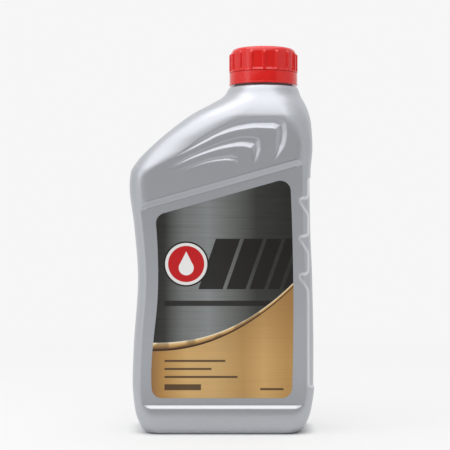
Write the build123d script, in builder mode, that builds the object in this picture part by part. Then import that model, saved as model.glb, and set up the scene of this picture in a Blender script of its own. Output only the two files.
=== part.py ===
from build123d import *
import os
from math import sqrt

# Motor oil bottle of one quart: a blow-moulded flask with its neck at the right,
# closed by a ribbed screw cap that sits above a tamper ring. Millimetres, +Z up,
# the printed face towards -Y, the origin under the middle of the body.

# Body
body_width = 107.7
body_depth = 57.4
wall = 1.0
ledge_height = 202.4
turret_radius = 20.45
neck_x = 24.64
flat_trim = 0.05
hip_height = 30.0
waist_height = 90.0
shoulder_drop = 58.4

# Side outlines. Heel: height and how far the outline lies inside the full width or depth.
left_heel = [(0, 11.3), (1.2, 9.0), (4.5, 6.5), (14, 3.35)]
right_heel = [(0, 10.3), (1.2, 8.0), (4.5, 5.35), (14, 1.95)]
deep_heel = [(0, 6.3), (1.2, 4.5), (4.5, 2.7), (14, 0.2), (20, 0)]

# Middle: the same at the hip, below the waist, at the waist, above it and at the shoulder
left_middle = [1.9, 2.6, 5.05, 3.0, 0.15]
right_middle = [0.05, 0, 0.7, 1.85, 2.2]
below_waist = 0.35
above_waist = 0.54

# Shoulder: drop below the ledge and how far the outline lies inside
left_shoulder = [(51.1, 0.8), (44.0, 5.0), (36.9, 11.8), (22.6, 28.15)]
right_shoulder = [(51.1, 2.3), (36.9, 1.2), (22.6, 1.7)]
deep_shoulder = [(22.4, 0)]

# Turret: drop below the ledge and share of the way in to the round turret
left_turret = [(15.4, 0.655), (10.4, 0.81), (4.7, 0.955)]
right_turret = [(15.4, 0.34), (10.4, 0.54), (4.7, 0.84)]
deep_turret = [(15.4, 0.04), (10.4, 0.35), (4.7, 0.82)]

# Rounding of the four upright edges, and the heights or drops between which it grows
heel_round = 9.0
edge_round = 10.8
shoulder_round = 22.5
heel_grows = (0, 14)
shoulder_grows = (54.4, 32.4)
turret_grows = (37.4, 4.4)
turret_closes = (18.4, 0)
turret_flat = 0.1

# Heights of the sections up the heel, their number up the middle and drops on the shoulder
heel_sections = [0, 1.2, 4.5, 9, 14, 21]
middle_sections = 8
shoulder_sections = [50.4, 44.4, 37.4, 30.4, 23.4, 18.4, 14.4, 10.4, 6.4, 2.9, 0]

# Share of its radius by which a cubic curve's handles make it a quarter of a circle
quarter_pull = 0.5523

# Base
push_up_height = 2.5
push_up_land = 3.6
push_up_slope = 4.0
push_up_round = 8.0

# Label recess, across the front and the back. Its top line rises to the right.
recess_depth = 1.5
recess_bottom = 14.6
recess_bottom_bevel = 3.6
recess_top_drop = 74.9
recess_top_rise = 30.4
recess_top_bevel = 3.4

# Three bent grooves on the shoulder. Each has the tip of its long arm, pairs of
# points on its upper and lower edge as far as the bend, pairs on its short arm
# below the bend, and the tip of that arm: x, and height against the ledge.
groove_slope = 0.4
grooves = [
    (
        (-24.4, -40.9),
        [
            ((-10.8, -31.4), (-9.4, -33.8)),
            ((-2.6, -26.8), (-1.2, -29.9)),
            ((9.8, -21.6), (11.2, -26.4)),
            ((20.6, -19.9), (21.0, -25.5)),
            ((31.0, -19.7), (28.0, -25.5)),
            ((36.1, -21.7), (31.6, -26.3)),
        ],
        [
            ((36.9, -26.8), (31.8, -30.4)),
            ((36.1, -31.9), (31.3, -35.5)),
            ((34.2, -37.0), (31.0, -39.0)),
        ],
        (30.2, -44.1),
    ),
    (
        (-28.8, -47.9),
        [
            ((-13.0, -39.1), (-11.8, -41.2)),
            ((2.5, -33.2), (3.5, -36.9)),
            ((13.1, -31.0), (11.5, -36.1)),
            ((20.9, -32.0), (17.0, -37.0)),
        ],
        [((21.6, -36.4), (17.8, -39.6)), ((20.4, -41.2), (18.1, -43.0))],
        (18.2, -46.5),
    ),
    (
        (-26.0, -51.4),
        [
            ((-15.2, -46.5), (-14.8, -47.5)),
            ((-4.9, -43.2), (-4.5, -44.9)),
            ((4.6, -41.8), (4.4, -44.2)),
            ((8.6, -42.8), (6.8, -44.7)),
        ],
        [((8.5, -45.0), (7.2, -46.0))],
        (7.5, -48.5),
    ),
]

# Panel let into the right side, with finger notches round both of its corners
panel_depth = 0.65
panel_bottom = 27.6
panel_top_drop = 54.4
panel_border = 3.95
notch_reach = 6.9
notch_height = 9.3
notch_flat = 2.4
notch_round = 1.1
notch_drop = 66.0
notch_pitch = 21.8
notch_count = 3

# Graduation bars on the side panel
bar_bottom = 35.0
bar_pitch = 21.1
bar_count = 5
bar_length = 10.0
bar_height = 1.3
bar_proud = 0.5

# Neck finish
neck_height = 20.5
neck_radius = 16.8
neck_wall = 1.6
rim_round = 0.5

# Screw thread, with the ridge on the cap half a pitch above the one on the neck
thread_pitch = 4.23
thread_height = 1.1
thread_clearance = 0.3
thread_bite = 0.3
thread_drop = 10.0
neck_thread_root = 2.2
neck_thread_crest = 1.0
neck_thread_turns = 1.5
cap_thread_root = 1.8
cap_thread_crest = 0.8
cap_thread_turns = 1.0

# Cap and its liner
cap_height = 14.3
cap_wall = 1.0
cap_top_thickness = 1.4
cap_top_round = 2.6
cap_foot = 0.5
rib_count = 16
rib_width = 1.3
rib_proud = 1.1
rib_drop = 4.0
liner_thickness = 1.0
liner_clearance = 0.3
seal_gap = 0.1

# Tamper ring, caught by its hook under the bead of the neck
ring_height = 6.9
ring_step = 0.15
ring_flare = 0.2
ring_clearance = 0.5
ring_cap_gap = 0.4
bead_proud = 1.1
bead_height = 1.8
bead_edge = 0.6
bead_clearance = 0.8
hook_clearance = 0.55
hook_lift = 1.6
hook_height = 1.1
bridge_width = 1.0
bridge_depth = 1.2
bridge_height = 0.25
bridge_turn = 6.0

# Front label: share of its height and how far each edge lies inside the full width
label_thickness = 0.12
label_round = 6.0
label_margin = 3.2
label_top_margin = 5.6
label_left = [(0, 13.95), (0.3, 14.35), (0.5, 16.55), (0.76, 17.15), (1, 15.55)]
label_right = [(0, 13.65), (0.56, 12.9), (1, 14.65)]

half_width = body_width / 2
half_depth = body_depth / 2
shoulder_height = ledge_height - shoulder_drop
rim_height = ledge_height + neck_height
bore_radius = neck_radius - neck_wall
bead_radius = neck_radius + bead_proud
cap_inner_radius = neck_radius + thread_height + thread_clearance
cap_panel_radius = cap_inner_radius + cap_wall
cap_radius = cap_panel_radius + rib_proud
cap_top = rim_height + seal_gap + liner_thickness + cap_top_thickness
cap_bottom = cap_top - cap_height
ring_top = cap_bottom - ring_cap_gap
ring_bottom = ring_top - ring_height
bead_bottom = ring_bottom + hook_lift + bead_clearance
thread_start = rim_height - thread_drop
neck_axis = Axis((neck_x, 0, 0), (0, 0, 1))
neck_side = Plane(origin=(neck_x, 0, 0), x_dir=(1, 0, 0), z_dir=(0, -1, 0))


def outline(heel, middle, shoulder, turret, reach):
    """Stations of one side, from the base to the ledge: height and distance inside."""
    below = hip_height + below_waist * (waist_height - hip_height)
    above = waist_height + above_waist * (shoulder_height - waist_height)
    heights = [hip_height, below, waist_height, above, shoulder_height]
    upper = [(ledge_height - drop, inside) for drop, inside in shoulder]
    closing = [(ledge_height - drop, share * reach) for drop, share in turret]
    return heel + list(zip(heights, middle)) + upper + closing + [(ledge_height, reach)]


left_side = outline(
    left_heel, left_middle, left_shoulder, left_turret, half_width + neck_x - turret_radius
)
right_side = outline(
    right_heel, right_middle, right_shoulder, right_turret, half_width - neck_x - turret_radius
)
deep_side = outline(
    deep_heel, [], deep_shoulder, deep_turret, half_depth + flat_trim - turret_radius
)


def along(stations, height):
    """Value at a height on a smooth curve through the stations that never overshoots them."""
    steps = [(b[1] - a[1]) / (b[0] - a[0]) for a, b in zip(stations, stations[1:])]
    turns = [0 if a * b <= 0 else 2 * a * b / (a + b) for a, b in zip(steps, steps[1:])]
    turns = [steps[0]] + turns + [steps[-1]]
    spans = list(zip(stations, stations[1:], turns, turns[1:]))
    (z0, v0), (z1, v1), m0, m1 = next((s for s in spans if height <= s[1][0]), spans[-1])
    t = (height - z0) / (z1 - z0)
    ends = v0 * (2 * t**3 - 3 * t**2 + 1) + v1 * (3 * t**2 - 2 * t**3)
    return ends + (z1 - z0) * (m0 * (t**3 - 2 * t**2 + t) + m1 * (t**3 - t**2))


def square_inset(stations, height, inset):
    """Level distance that leaves the inset square to a sloping wall."""
    reach = 0.2
    ends = [along(stations, height + side * reach) for side in (-1, 1)]
    rise = (ends[1] - ends[0]) / (2 * reach)
    return inset * sqrt(1 + rise**2)


def ramp(span, place):
    """Smooth step from 0 at the first end of the span to 1 at its second."""
    t = min(max((place - span[0]) / (span[1] - span[0]), 0), 1)
    return t * t * (3 - 2 * t)


def section(height, inset):
    """Rounded rectangle of the body at a height, inside the skin by the inset."""
    left_in = square_inset(left_side, height, inset)
    right_in = square_inset(right_side, height, inset)
    deep_in = square_inset(deep_side, height, inset)
    west = -half_width + along(left_side, height) + left_in
    east = half_width - along(right_side, height) - right_in
    deep = half_depth + flat_trim - along(deep_side, height) - deep_in

    drop = ledge_height - height
    turret = turret_radius - turret_flat
    corner = heel_round + (edge_round - heel_round) * ramp(heel_grows, height)
    slope = corner + (shoulder_round - corner) * ramp(shoulder_grows, drop)
    west_round = slope + (turret - slope) * ramp(turret_closes, drop) - left_in
    corner += (turret - corner) * ramp(turret_grows, drop)
    east_round = corner - right_in
    deep_round = corner - deep_in

    with BuildSketch(Plane.XY.offset(height)) as rounded:
        with BuildLine():
            for x, y, rx, ry in (
                (east, -deep, -east_round, deep_round),
                (east, deep, -east_round, -deep_round),
                (west, deep, west_round, -deep_round),
                (west, -deep, west_round, deep_round),
            ):
                pull = (x + (1 - quarter_pull) * rx, y + (1 - quarter_pull) * ry)
                Bezier((x + rx, y), (pull[0], y), (x, pull[1]), (x, y + ry))
            Line((east, deep_round - deep), (east, deep - deep_round))
            Line((east - east_round, deep), (west + west_round, deep))
            Line((west, deep - deep_round), (west, deep_round - deep))
            Line((west + west_round, -deep), (east - east_round, -deep))
        make_face()
    return rounded.sketch


def loft_heights():
    """Heights of the sections: close together at the heel and up the shoulder."""
    start = heel_sections[-1]
    rise = (shoulder_height - start) / middle_sections
    middle = [start + rise * (step + 1) for step in range(middle_sections)]
    return heel_sections + middle + [ledge_height - drop for drop in shoulder_sections]


def skin(inset):
    """The plain body, inside the skin by the inset, with its front and back trimmed flat."""
    squeeze = 1 - 2 * inset / ledge_height
    sections = [section(inset + height * squeeze, inset) for height in loft_heights()]
    with BuildPart() as plain:
        loft(sections)
        with BuildSketch():
            Rectangle(2 * body_width, body_depth - 2 * inset)
        extrude(amount=ledge_height, mode=Mode.INTERSECT)
    return plain.part


def push_up(inset):
    """Hollow under the base, raised by the inset, inside the ring that the bottle stands on."""
    base_left = left_heel[0][1] + push_up_land
    base_right = right_heel[0][1] + push_up_land
    base_width = body_width - base_left - base_right
    base_depth = body_depth - 2 * (deep_heel[0][1] + push_up_land)
    lean = push_up_slope / push_up_height
    lift = inset * sqrt(1 + 1 / lean**2)
    with BuildPart() as hollow:
        for height in (0, push_up_height + inset):
            shrink = (height - lift) * lean
            with BuildSketch(Plane.XY.offset(height)):
                with Locations(((base_left - base_right) / 2, 0)):
                    RectangleRounded(
                        base_width - 2 * shrink, base_depth - 2 * shrink, push_up_round - shrink
                    )
        loft(ruled=True)
    return hollow.part


def label_recess(inset):
    """Tool for the recess across the front, with its level lower and slanted upper bevels."""
    face = half_depth - inset
    with BuildPart() as tool:
        for reach, spread in ((-recess_depth, 0), (recess_depth, 2)):
            low = recess_bottom + recess_bottom_bevel * (1 - spread)
            high = ledge_height - recess_top_drop + recess_top_bevel * spread
            with BuildSketch(Plane.XZ.offset(face + reach)):
                with BuildLine():
                    Polyline(
                        (-half_width, low),
                        (half_width, low),
                        (half_width, high + recess_top_rise),
                        (-half_width, high),
                        close=True,
                    )
                make_face()
        loft(ruled=True)
    return tool.part


def groove_arm(tip, pairs):
    """V-shaped tool on the plane of the front that widens from its tip along its edges."""
    stations = [Vertex(tip[0], 0, tip[1])]
    for (x1, z1), (x2, z2) in pairs:
        deep = groove_slope * sqrt((x1 - x2) ** 2 + (z1 - z2) ** 2)
        middle_x = (x1 + x2) / 2
        middle_z = (z1 + z2) / 2
        crease = (middle_x, deep, middle_z)
        edges = [(2 * x - middle_x, -deep, 2 * z - middle_z) for x, z in ((x1, z1), (x2, z2))]
        stations.append(Face(Wire.make_polygon(edges + [crease])))
    with BuildPart() as arm:
        loft(stations)
    return arm.part


def shoulder_grooves(inset):
    """The arms of the three bent grooves, each pair of which meets at its bend."""
    arms = []
    place = Pos(0, inset - half_depth, ledge_height)
    for tip, long_pairs, short_pairs, tail in grooves:
        arms.append(place * groove_arm(tip, long_pairs))
        arms.append(place * groove_arm(tail, short_pairs[::-1] + long_pairs[-1:]))
    return arms


def side_panel(inset):
    """Shallow layer that is let into the right side, with its finger notches."""
    border = half_width - panel_border
    edge = [(body_width, panel_bottom), (border, panel_bottom)]
    for count in reversed(range(notch_count)):
        top = ledge_height - notch_drop - count * notch_pitch
        nose = border - notch_reach
        edge += [(border, top - notch_height), (nose, top - notch_flat), (nose, top), (border, top)]
    panel_top = ledge_height - panel_top_drop
    edge += [(border, panel_top), (body_width, panel_top)]
    floor = skin(inset + panel_depth)
    with BuildPart() as layer:
        with BuildSketch(Plane.XZ) as region:
            with BuildLine():
                Polyline(*edge, close=True)
            make_face()
            if inset > 0:
                offset(amount=inset, kind=Kind.INTERSECTION)
            fillet(region.vertices().filter_by(lambda v: v.X < half_width), notch_round)
        extrude(amount=body_depth, both=True)
        add(floor, mode=Mode.SUBTRACT)
    return layer.part


def form(inset):
    """The body with all its recesses, inside the skin by the inset."""
    plain = skin(inset)
    tools = [push_up(inset), side_panel(inset)]
    for tool in [label_recess(inset)] + shoulder_grooves(inset):
        tools += [tool, mirror(tool, about=Plane.XZ)]
    with BuildPart() as shaped:
        add(plain)
        add(tools, mode=Mode.SUBTRACT)
    return shaped.part


def thread(wall_radius, outward, root, crest, turns, start):
    """Helical ridge on a round wall, outward from it (1) or inward (-1)."""
    with BuildLine() as path:
        Helix(thread_pitch, thread_pitch * turns, wall_radius, center=(neck_x, 0, start))
    helix = path.line
    foot = -outward * thread_bite
    tip = outward * thread_height
    with BuildPart() as ridge:
        with BuildSketch(Plane(origin=helix @ 0, x_dir=(1, 0, 0), z_dir=helix % 0)):
            with BuildLine():
                Polyline(
                    (foot, -root / 2), (tip, -crest / 2), (tip, crest / 2), (foot, root / 2),
                    close=True,
                )
            make_face()
        sweep(path=helix, is_frenet=True)
    return ridge.part


def turned(points):
    """Closed profile beside the axis of the neck, radius and height, turned round it."""
    with BuildPart() as ring:
        with BuildSketch(neck_side):
            with BuildLine():
                Polyline(*points, close=True)
            make_face()
        revolve(axis=neck_axis)
    return ring.part


# Bottle: the skin less the cavity inside its wall, with the neck on the turret
neck_body = turned(
    [
        (bore_radius, ledge_height - wall),
        (bore_radius, rim_height),
        (neck_radius - rim_round, rim_height),
        (neck_radius, rim_height - rim_round),
        (neck_radius, bead_bottom + bead_height),
        (bead_radius, bead_bottom + bead_edge),
        (bead_radius, bead_bottom),
        (neck_radius, bead_bottom),
        (neck_radius, ledge_height - wall),
    ]
)
neck_thread = thread(
    neck_radius, 1, neck_thread_root, neck_thread_crest, neck_thread_turns, thread_start
)
with BuildPart() as neck:
    add(neck_body)
    add(neck_thread)
with BuildPart() as bars:
    for count in range(bar_count):
        height = bar_bottom + count * bar_pitch
        side = half_width - along(right_side, height) - panel_depth
        with BuildSketch(Plane.YZ.offset(side - wall / 2)):
            with Locations((0, height)):
                SlotOverall(bar_length, bar_height)
        extrude(amount=wall / 2 + bar_proud)
outside = form(0)
cavity = form(wall)
with BuildPart() as bottle:
    add(outside)
    add(cavity, mode=Mode.SUBTRACT)
    with BuildSketch(Plane.XY.offset(ledge_height - 2 * wall)):
        with Locations((neck_x, 0)):
            Circle(bore_radius)
    extrude(amount=3 * wall, mode=Mode.SUBTRACT)
    add([neck.part, bars.part])
bottle.part.label = "bottle"

# Cap: a round core with its top edge rounded, and ribs round the skirt
cap_thread = thread(
    cap_inner_radius, -1, cap_thread_root, cap_thread_crest, cap_thread_turns,
    thread_start + thread_pitch / 2,
)
inside_top = cap_top - cap_top_thickness
with BuildPart() as cap:
    with BuildSketch(neck_side):
        with BuildLine():
            edge = (cap_panel_radius, cap_top - cap_top_round)
            crown = (cap_panel_radius - cap_top_round, cap_top)
            Polyline(
                crown,
                (0, cap_top),
                (0, inside_top),
                (cap_inner_radius, inside_top),
                (cap_inner_radius, cap_bottom),
                (cap_radius, cap_bottom),
                (cap_radius, cap_bottom + cap_foot),
                (cap_panel_radius, cap_bottom + cap_foot + rib_proud),
                edge,
            )
            RadiusArc(crown, edge, cap_top_round)
        make_face()
    revolve(axis=neck_axis)
    for count in range(rib_count):
        turn = count * 360 / rib_count
        rib_side = Plane(
            origin=(neck_x, 0, 0),
            x_dir=Vector(1, 0, 0).rotate(Axis.Z, turn),
            z_dir=Vector(0, -1, 0).rotate(Axis.Z, turn),
        )
        rib_top = cap_top - rib_drop
        with BuildSketch(rib_side):
            with BuildLine():
                Polyline(
                    (cap_panel_radius - thread_bite, cap_bottom),
                    (cap_radius, cap_bottom),
                    (cap_radius, rib_top),
                    (cap_panel_radius, rib_top + rib_proud),
                    (cap_panel_radius - thread_bite, rib_top + rib_proud),
                    close=True,
                )
            make_face()
        extrude(amount=rib_width / 2, both=True)
    add(cap_thread)
cap.part.label = "cap"

# Liner: the soft disc pressed up inside the cap
with BuildPart() as cap_liner:
    with BuildSketch(Plane.XY.offset(inside_top)):
        with Locations((neck_x, 0)):
            Circle(cap_inner_radius - liner_clearance)
    extrude(amount=-liner_thickness)
cap_liner.part.label = "cap_liner"

# Tamper ring, with the stubs of its bridges to the cap
ring_radius = cap_radius - ring_step
ring_inner_radius = bead_radius + ring_clearance
hook_radius = neck_radius + hook_clearance
hook_top = ring_bottom + hook_lift
ring_body = turned(
    [
        (ring_inner_radius, ring_top),
        (ring_inner_radius, hook_top),
        (hook_radius, hook_top),
        (hook_radius, hook_top - hook_height),
        (ring_inner_radius, ring_bottom),
        (ring_radius + ring_flare, ring_bottom),
        (ring_radius, ring_bottom + hook_height),
        (ring_radius, ring_top),
    ]
)
with BuildPart() as tamper_ring:
    add(ring_body)
    with BuildSketch(Plane.XY.offset(ring_top)):
        with Locations((neck_x, 0)):
            with PolarLocations(
                ring_radius - bridge_depth / 2 - ring_step, rib_count, start_angle=bridge_turn
            ):
                Rectangle(bridge_depth, bridge_width)
    extrude(amount=bridge_height)
tamper_ring.part.label = "tamper_ring"

# Front label: a film on the floor of the recess, its top edge parallel to the recess
label_bottom = recess_bottom + recess_bottom_bevel + label_margin


def label_top(x):
    """Height of the top edge of the label at a place across the front."""
    share = (x + half_width) / body_width
    return ledge_height - recess_top_drop + share * recess_top_rise - label_top_margin


def label_edge(stations, side):
    """Points up one edge of the label, on the left (-1) or on the right (1)."""
    top = label_top(side * (half_width - stations[-1][1]))
    tall = top - label_bottom
    return [(side * (half_width - inside), label_bottom + share * tall) for share, inside in stations]


left_edge = label_edge(label_left, -1)
right_edge = label_edge(label_right, 1)
with BuildPart() as front_label:
    with BuildSketch(Plane.XZ.offset(half_depth - recess_depth)) as film:
        with BuildLine():
            Spline(*left_edge)
            Line(left_edge[-1], right_edge[-1])
            Spline(*right_edge)
            Line(right_edge[0], left_edge[0])
        make_face()
        fillet(film.vertices(), label_round)
    extrude(amount=label_thickness)
front_label.part.label = "front_label"

os.makedirs("parts", exist_ok=True)
for piece in (bottle, cap, cap_liner, tamper_ring, front_label):
    export_step(piece.part, f"parts/{piece.part.label}.step")
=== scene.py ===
import math

import bmesh
import bpy
import numpy as np
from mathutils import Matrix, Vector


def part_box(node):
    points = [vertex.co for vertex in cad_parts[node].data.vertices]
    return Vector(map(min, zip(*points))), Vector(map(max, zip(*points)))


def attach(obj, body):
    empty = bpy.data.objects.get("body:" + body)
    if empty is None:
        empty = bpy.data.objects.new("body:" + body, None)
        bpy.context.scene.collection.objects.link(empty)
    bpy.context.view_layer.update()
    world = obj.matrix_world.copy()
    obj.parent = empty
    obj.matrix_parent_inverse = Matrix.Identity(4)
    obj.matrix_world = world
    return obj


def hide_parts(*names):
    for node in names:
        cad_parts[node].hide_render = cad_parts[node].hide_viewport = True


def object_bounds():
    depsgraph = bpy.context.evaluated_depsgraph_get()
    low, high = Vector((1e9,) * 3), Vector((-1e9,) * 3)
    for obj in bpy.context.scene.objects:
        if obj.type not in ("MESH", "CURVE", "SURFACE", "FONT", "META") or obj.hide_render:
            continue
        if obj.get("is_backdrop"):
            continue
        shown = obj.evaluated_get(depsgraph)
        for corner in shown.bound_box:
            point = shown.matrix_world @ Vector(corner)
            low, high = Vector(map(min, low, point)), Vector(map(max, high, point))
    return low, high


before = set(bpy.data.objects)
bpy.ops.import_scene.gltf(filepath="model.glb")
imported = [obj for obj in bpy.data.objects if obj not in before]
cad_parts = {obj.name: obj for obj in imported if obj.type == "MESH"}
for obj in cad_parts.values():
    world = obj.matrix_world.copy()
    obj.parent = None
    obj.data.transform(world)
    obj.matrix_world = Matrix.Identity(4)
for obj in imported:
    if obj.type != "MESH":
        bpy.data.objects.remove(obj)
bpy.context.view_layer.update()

# Looks of a motor oil bottle of one quart. Lengths are millimetres up to the making of
# a mesh or an object, which is in metres. +Z is up and the printed face looks towards -Y.

MM = 0.001

# Body
body_width = 107.7
body_depth = 57.4
wall = 1.0
ledge_height = 202.4
turret_radius = 20.45
neck_x = 24.64
hip_height = 30.0
waist_height = 90.0
shoulder_drop = 58.4
below_waist = 0.35
above_waist = 0.54
half_width = body_width / 2
half_depth = body_depth / 2
shoulder_height = ledge_height - shoulder_drop

# Side outlines: height, or drop below the ledge, and how far the outline lies inside.
# On the turret the second number is a share of the way in to the round.
left_heel = [(0, 11.3), (1.2, 9.0), (4.5, 6.5), (14, 3.35)]
right_heel = [(0, 10.3), (1.2, 8.0), (4.5, 5.35), (14, 1.95)]
deep_heel = [(0, 6.3), (1.2, 4.5), (4.5, 2.7), (14, 0.2), (20, 0)]
left_middle = [1.9, 2.6, 5.05, 3.0, 0.15]
right_middle = [0.05, 0, 0.7, 1.85, 2.2]
left_shoulder = [(51.1, 0.8), (44.0, 5.0), (36.9, 11.8), (22.6, 28.15)]
right_shoulder = [(51.1, 2.3), (36.9, 1.2), (22.6, 1.7)]
deep_shoulder = [(52.0, 0), (31.0, 0.12)]
left_turret = [(15.4, 0.655), (10.4, 0.81), (4.7, 0.955)]
right_turret = [(15.4, 0.34), (10.4, 0.54), (4.7, 0.84)]
deep_turret = [(24.0, 0.04), (19.0, 0.09), (15.5, 0.19), (11.4, 0.37), (4.7, 0.82)]

# Rounding of the upright edges, and the heights or drops between which it grows
heel_round = 9.0
edge_round = 10.8
shoulder_round = 31.0
heel_grows = (0, 14)
shoulder_grows = (54.4, 32.4)
turret_grows = (37.4, 4.4)
turret_closes = (18.4, 0)
turret_flat = 0.1
quarter_pull = 0.5523

# Hollow under the base
push_up_height = 2.5
push_up_land = 3.6
push_up_slope = 4.0

# Label recess
recess_depth = 1.5
recess_bottom = 14.8
recess_bottom_bevel = 2.7
recess_top_drop = 74.9
recess_top_rise = 30.4
recess_top_bevel = 3.4
recess_soft = 0.25

# Bent grooves: tip of the long arm, pairs of points on its edges as far as the bend,
# pairs on the short arm below the bend, and its tip. Heights are against the ledge.
groove_slope = 0.3
groove_soft = 0.15
groove_crease = 0.1
groove_tip = 0.35
groove_step = 0.35
groove_zone = (-56, -14)
grooves = [
    (
        (-24.4, -40.9),
        [
            ((-10.8, -31.4), (-9.4, -33.8)),
            ((-2.6, -26.8), (-1.2, -29.9)),
            ((9.8, -21.6), (11.2, -26.4)),
            ((20.6, -19.9), (21.0, -25.5)),
            ((31.0, -19.7), (28.0, -25.5)),
            ((36.1, -21.7), (31.6, -26.3)),
        ],
        [
            ((36.9, -26.8), (31.8, -30.4)),
            ((36.1, -31.9), (31.3, -35.5)),
            ((34.2, -37.0), (31.0, -39.0)),
        ],
        (30.2, -44.1),
    ),
    (
        (-28.8, -47.9),
        [
            ((-13.0, -39.1), (-11.8, -41.2)),
            ((2.5, -33.2), (3.5, -36.9)),
            ((13.1, -31.0), (11.5, -36.1)),
            ((20.9, -32.0), (17.0, -37.0)),
        ],
        [((21.6, -36.4), (17.8, -39.6)), ((20.4, -41.2), (18.1, -43.0))],
        (18.2, -46.5),
    ),
    (
        (-26.0, -51.4),
        [
            ((-15.2, -46.5), (-14.8, -47.5)),
            ((-4.9, -43.2), (-4.5, -44.9)),
            ((4.6, -41.8), (4.4, -44.2)),
            ((8.6, -42.8), (6.8, -44.7)),
        ],
        [((8.5, -45.0), (7.2, -46.0))],
        (7.5, -48.5),
    ),
]

# Side panel with its finger notches and graduation bars
panel_depth = 0.65
panel_bottom = 27.6
panel_top_drop = 54.4
panel_border = 3.95
panel_bevel = 1.1
notch_reach = 5.2
notch_height = 9.3
notch_flat = 2.4
notch_round = 2.0
notch_drop = 66.0
notch_pitch = 21.8
notch_count = 3
bar_bottom = 35.0
bar_pitch = 21.1
bar_count = 5
bar_length = 10.0
bar_height = 1.3
bar_proud = 0.5
bar_sunk = 0.5

# Painted highlights and painted shade along the skin's edges, and the darker tone of the graduation
# bars: where each line is full and where it ends, and its strength
panel_highlight_line = (0.25, 1.05)
recess_shade_line = (0.1, 0.6)
recess_shade_gap = 0.3
recess_low_shade = 0.3
bevel_highlight_line = (0.5, 1.2)
bevel_highlight_place = 0.6
bevel_highlight_strength = 0.45
groove_side_reach = 0.3
groove_side_shade = 0.4
bar_tone = -1.0

# Neck finish
neck_height = 20.5
neck_radius = 16.8
neck_wall = 1.6
bead_proud = 1.1
bead_height = 1.8
bead_edge = 0.6
thread_pitch = 4.23
thread_height = 1.1
thread_clearance = 0.3
thread_bite = 0.3
thread_drop = 10.0
neck_thread_root = 2.2
neck_thread_crest = 1.0
neck_thread_turns = 1.5

# Cap, liner and tamper ring. A rib's side starts and ends beside its half width
cap_wall = 1.0
cap_top_thickness = 1.4
cap_top_round = 3.2
cap_foot = 0.5
rib_count = 16
rib_width = 1.3
rib_proud = 1.1
rib_drop = 3.7
rib_side = (-0.1, 0.45)
moulded_round = 0.14
cap_thread_root = 1.8
cap_thread_crest = 0.8
cap_thread_turns = 1.0
hook_lift = 1.6
hook_height = 1.1
hook_clearance = 0.55
ring_step = 0.15
ring_flare = 0.2
ring_clearance = 0.5
bead_clearance = 0.8
bridge_width = 1.0
bridge_depth = 1.2
bridge_height = 0.25
bridge_turn = 6.0

# Levels and radii of the closure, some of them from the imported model
cap_bottom, cap_top = (corner.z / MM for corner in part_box("cap"))
ring_bottom, bridge_top = (corner.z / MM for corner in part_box("tamper_ring"))
liner_low, liner_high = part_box("cap_liner")
liner_bottom = liner_low.z / MM
liner_radius = (liner_high.x - liner_low.x) / MM / 2
ring_top = bridge_top - bridge_height
rim_height = ledge_height + neck_height
bore_radius = neck_radius - neck_wall
bead_radius = neck_radius + bead_proud
bead_bottom = ring_bottom + hook_lift + bead_clearance
cap_inner_radius = neck_radius + thread_height + thread_clearance
cap_panel_radius = cap_inner_radius + cap_wall
cap_radius = cap_panel_radius + rib_proud
ring_radius = cap_radius - ring_step
inside_top = cap_top - cap_top_thickness
thread_start = rim_height - thread_drop

# Columns round the body from the left end of its front: front, right front corner, right
# side, right back corner, back, left back corner, left side and left front corner
column_counts = (86, 40, 10, 22, 62, 26, 8, 40)

# Rows up the outside: from, to and how far apart
row_spans = [
    (0.3, 5.0, 0.6),
    (5.0, 14.0, 1.3),
    (14.0, 20.0, 0.5),
    (20.0, 26.0, 1.5),
    (26.0, 29.0, 0.4),
    (29.0, 80.0, 4.0),
    (80.0, 137.0, 0.7),
    (137.0, 149.0, 0.48),
    (149.0, 186.0, 0.5),
    (186.0, 202.0, 1.3),
]
inner_row_gap = 8.0
inner_front_inset = 3.6

# Heights between which the rows take up the slant of the recess's top, and lose it again
lean_starts = (60.0, 139.0)
lean_ends = (192.0, 149.0)

# Distance that stands for nowhere near
far_off = 99.0


def outline(heel, middle, shoulder, turret, reach):
    """Stations of one side, from the base to the ledge: height and distance inside."""
    below = hip_height + below_waist * (waist_height - hip_height)
    above = waist_height + above_waist * (shoulder_height - waist_height)
    heights = [hip_height, below, waist_height, above, shoulder_height]
    upper = [(ledge_height - drop, inside) for drop, inside in shoulder]
    closing = [(ledge_height - drop, share * reach) for drop, share in turret]
    return heel + list(zip(heights, middle)) + upper + closing + [(ledge_height, reach)]


left_side = outline(
    left_heel, left_middle, left_shoulder, left_turret, half_width + neck_x - turret_radius
)
right_side = outline(
    right_heel, right_middle, right_shoulder, right_turret, half_width - neck_x - turret_radius
)
deep_side = outline(deep_heel, [], deep_shoulder, deep_turret, half_depth - turret_radius)


def along(stations, place):
    """Values at places on a smooth curve through the stations that never overshoots them."""
    ends = np.array([s[0] for s in stations], float)
    values = np.array([s[1] for s in stations], float)
    steps = np.diff(values) / np.diff(ends)
    product = steps[:-1] * steps[1:]
    total = np.where(product > 0, steps[:-1] + steps[1:], 1)
    inner = np.where(product > 0, 2 * product / total, 0)
    turns = np.concatenate([steps[:1], inner, steps[-1:]])
    span = np.clip(np.searchsorted(ends[1:], place), 0, len(steps) - 1)
    length = ends[span + 1] - ends[span]
    t = (place - ends[span]) / length
    value = values[span] * (2 * t**3 - 3 * t**2 + 1) + values[span + 1] * (3 * t**2 - 2 * t**3)
    slope = turns[span] * (t**3 - 2 * t**2 + t) + turns[span + 1] * (t**3 - t**2)
    return value + length * slope


def square_inset(stations, height, inset):
    """Level distance that leaves the inset square to a sloping wall."""
    reach = 0.2
    rise = (along(stations, height + reach) - along(stations, height - reach)) / (2 * reach)
    return inset * np.sqrt(1 + rise**2)


def ramp(span, place):
    """Smooth step from 0 at the first end of the span to 1 at its second."""
    t = np.clip((place - span[0]) / (span[1] - span[0]), 0, 1)
    return t * t * (3 - 2 * t)


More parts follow.
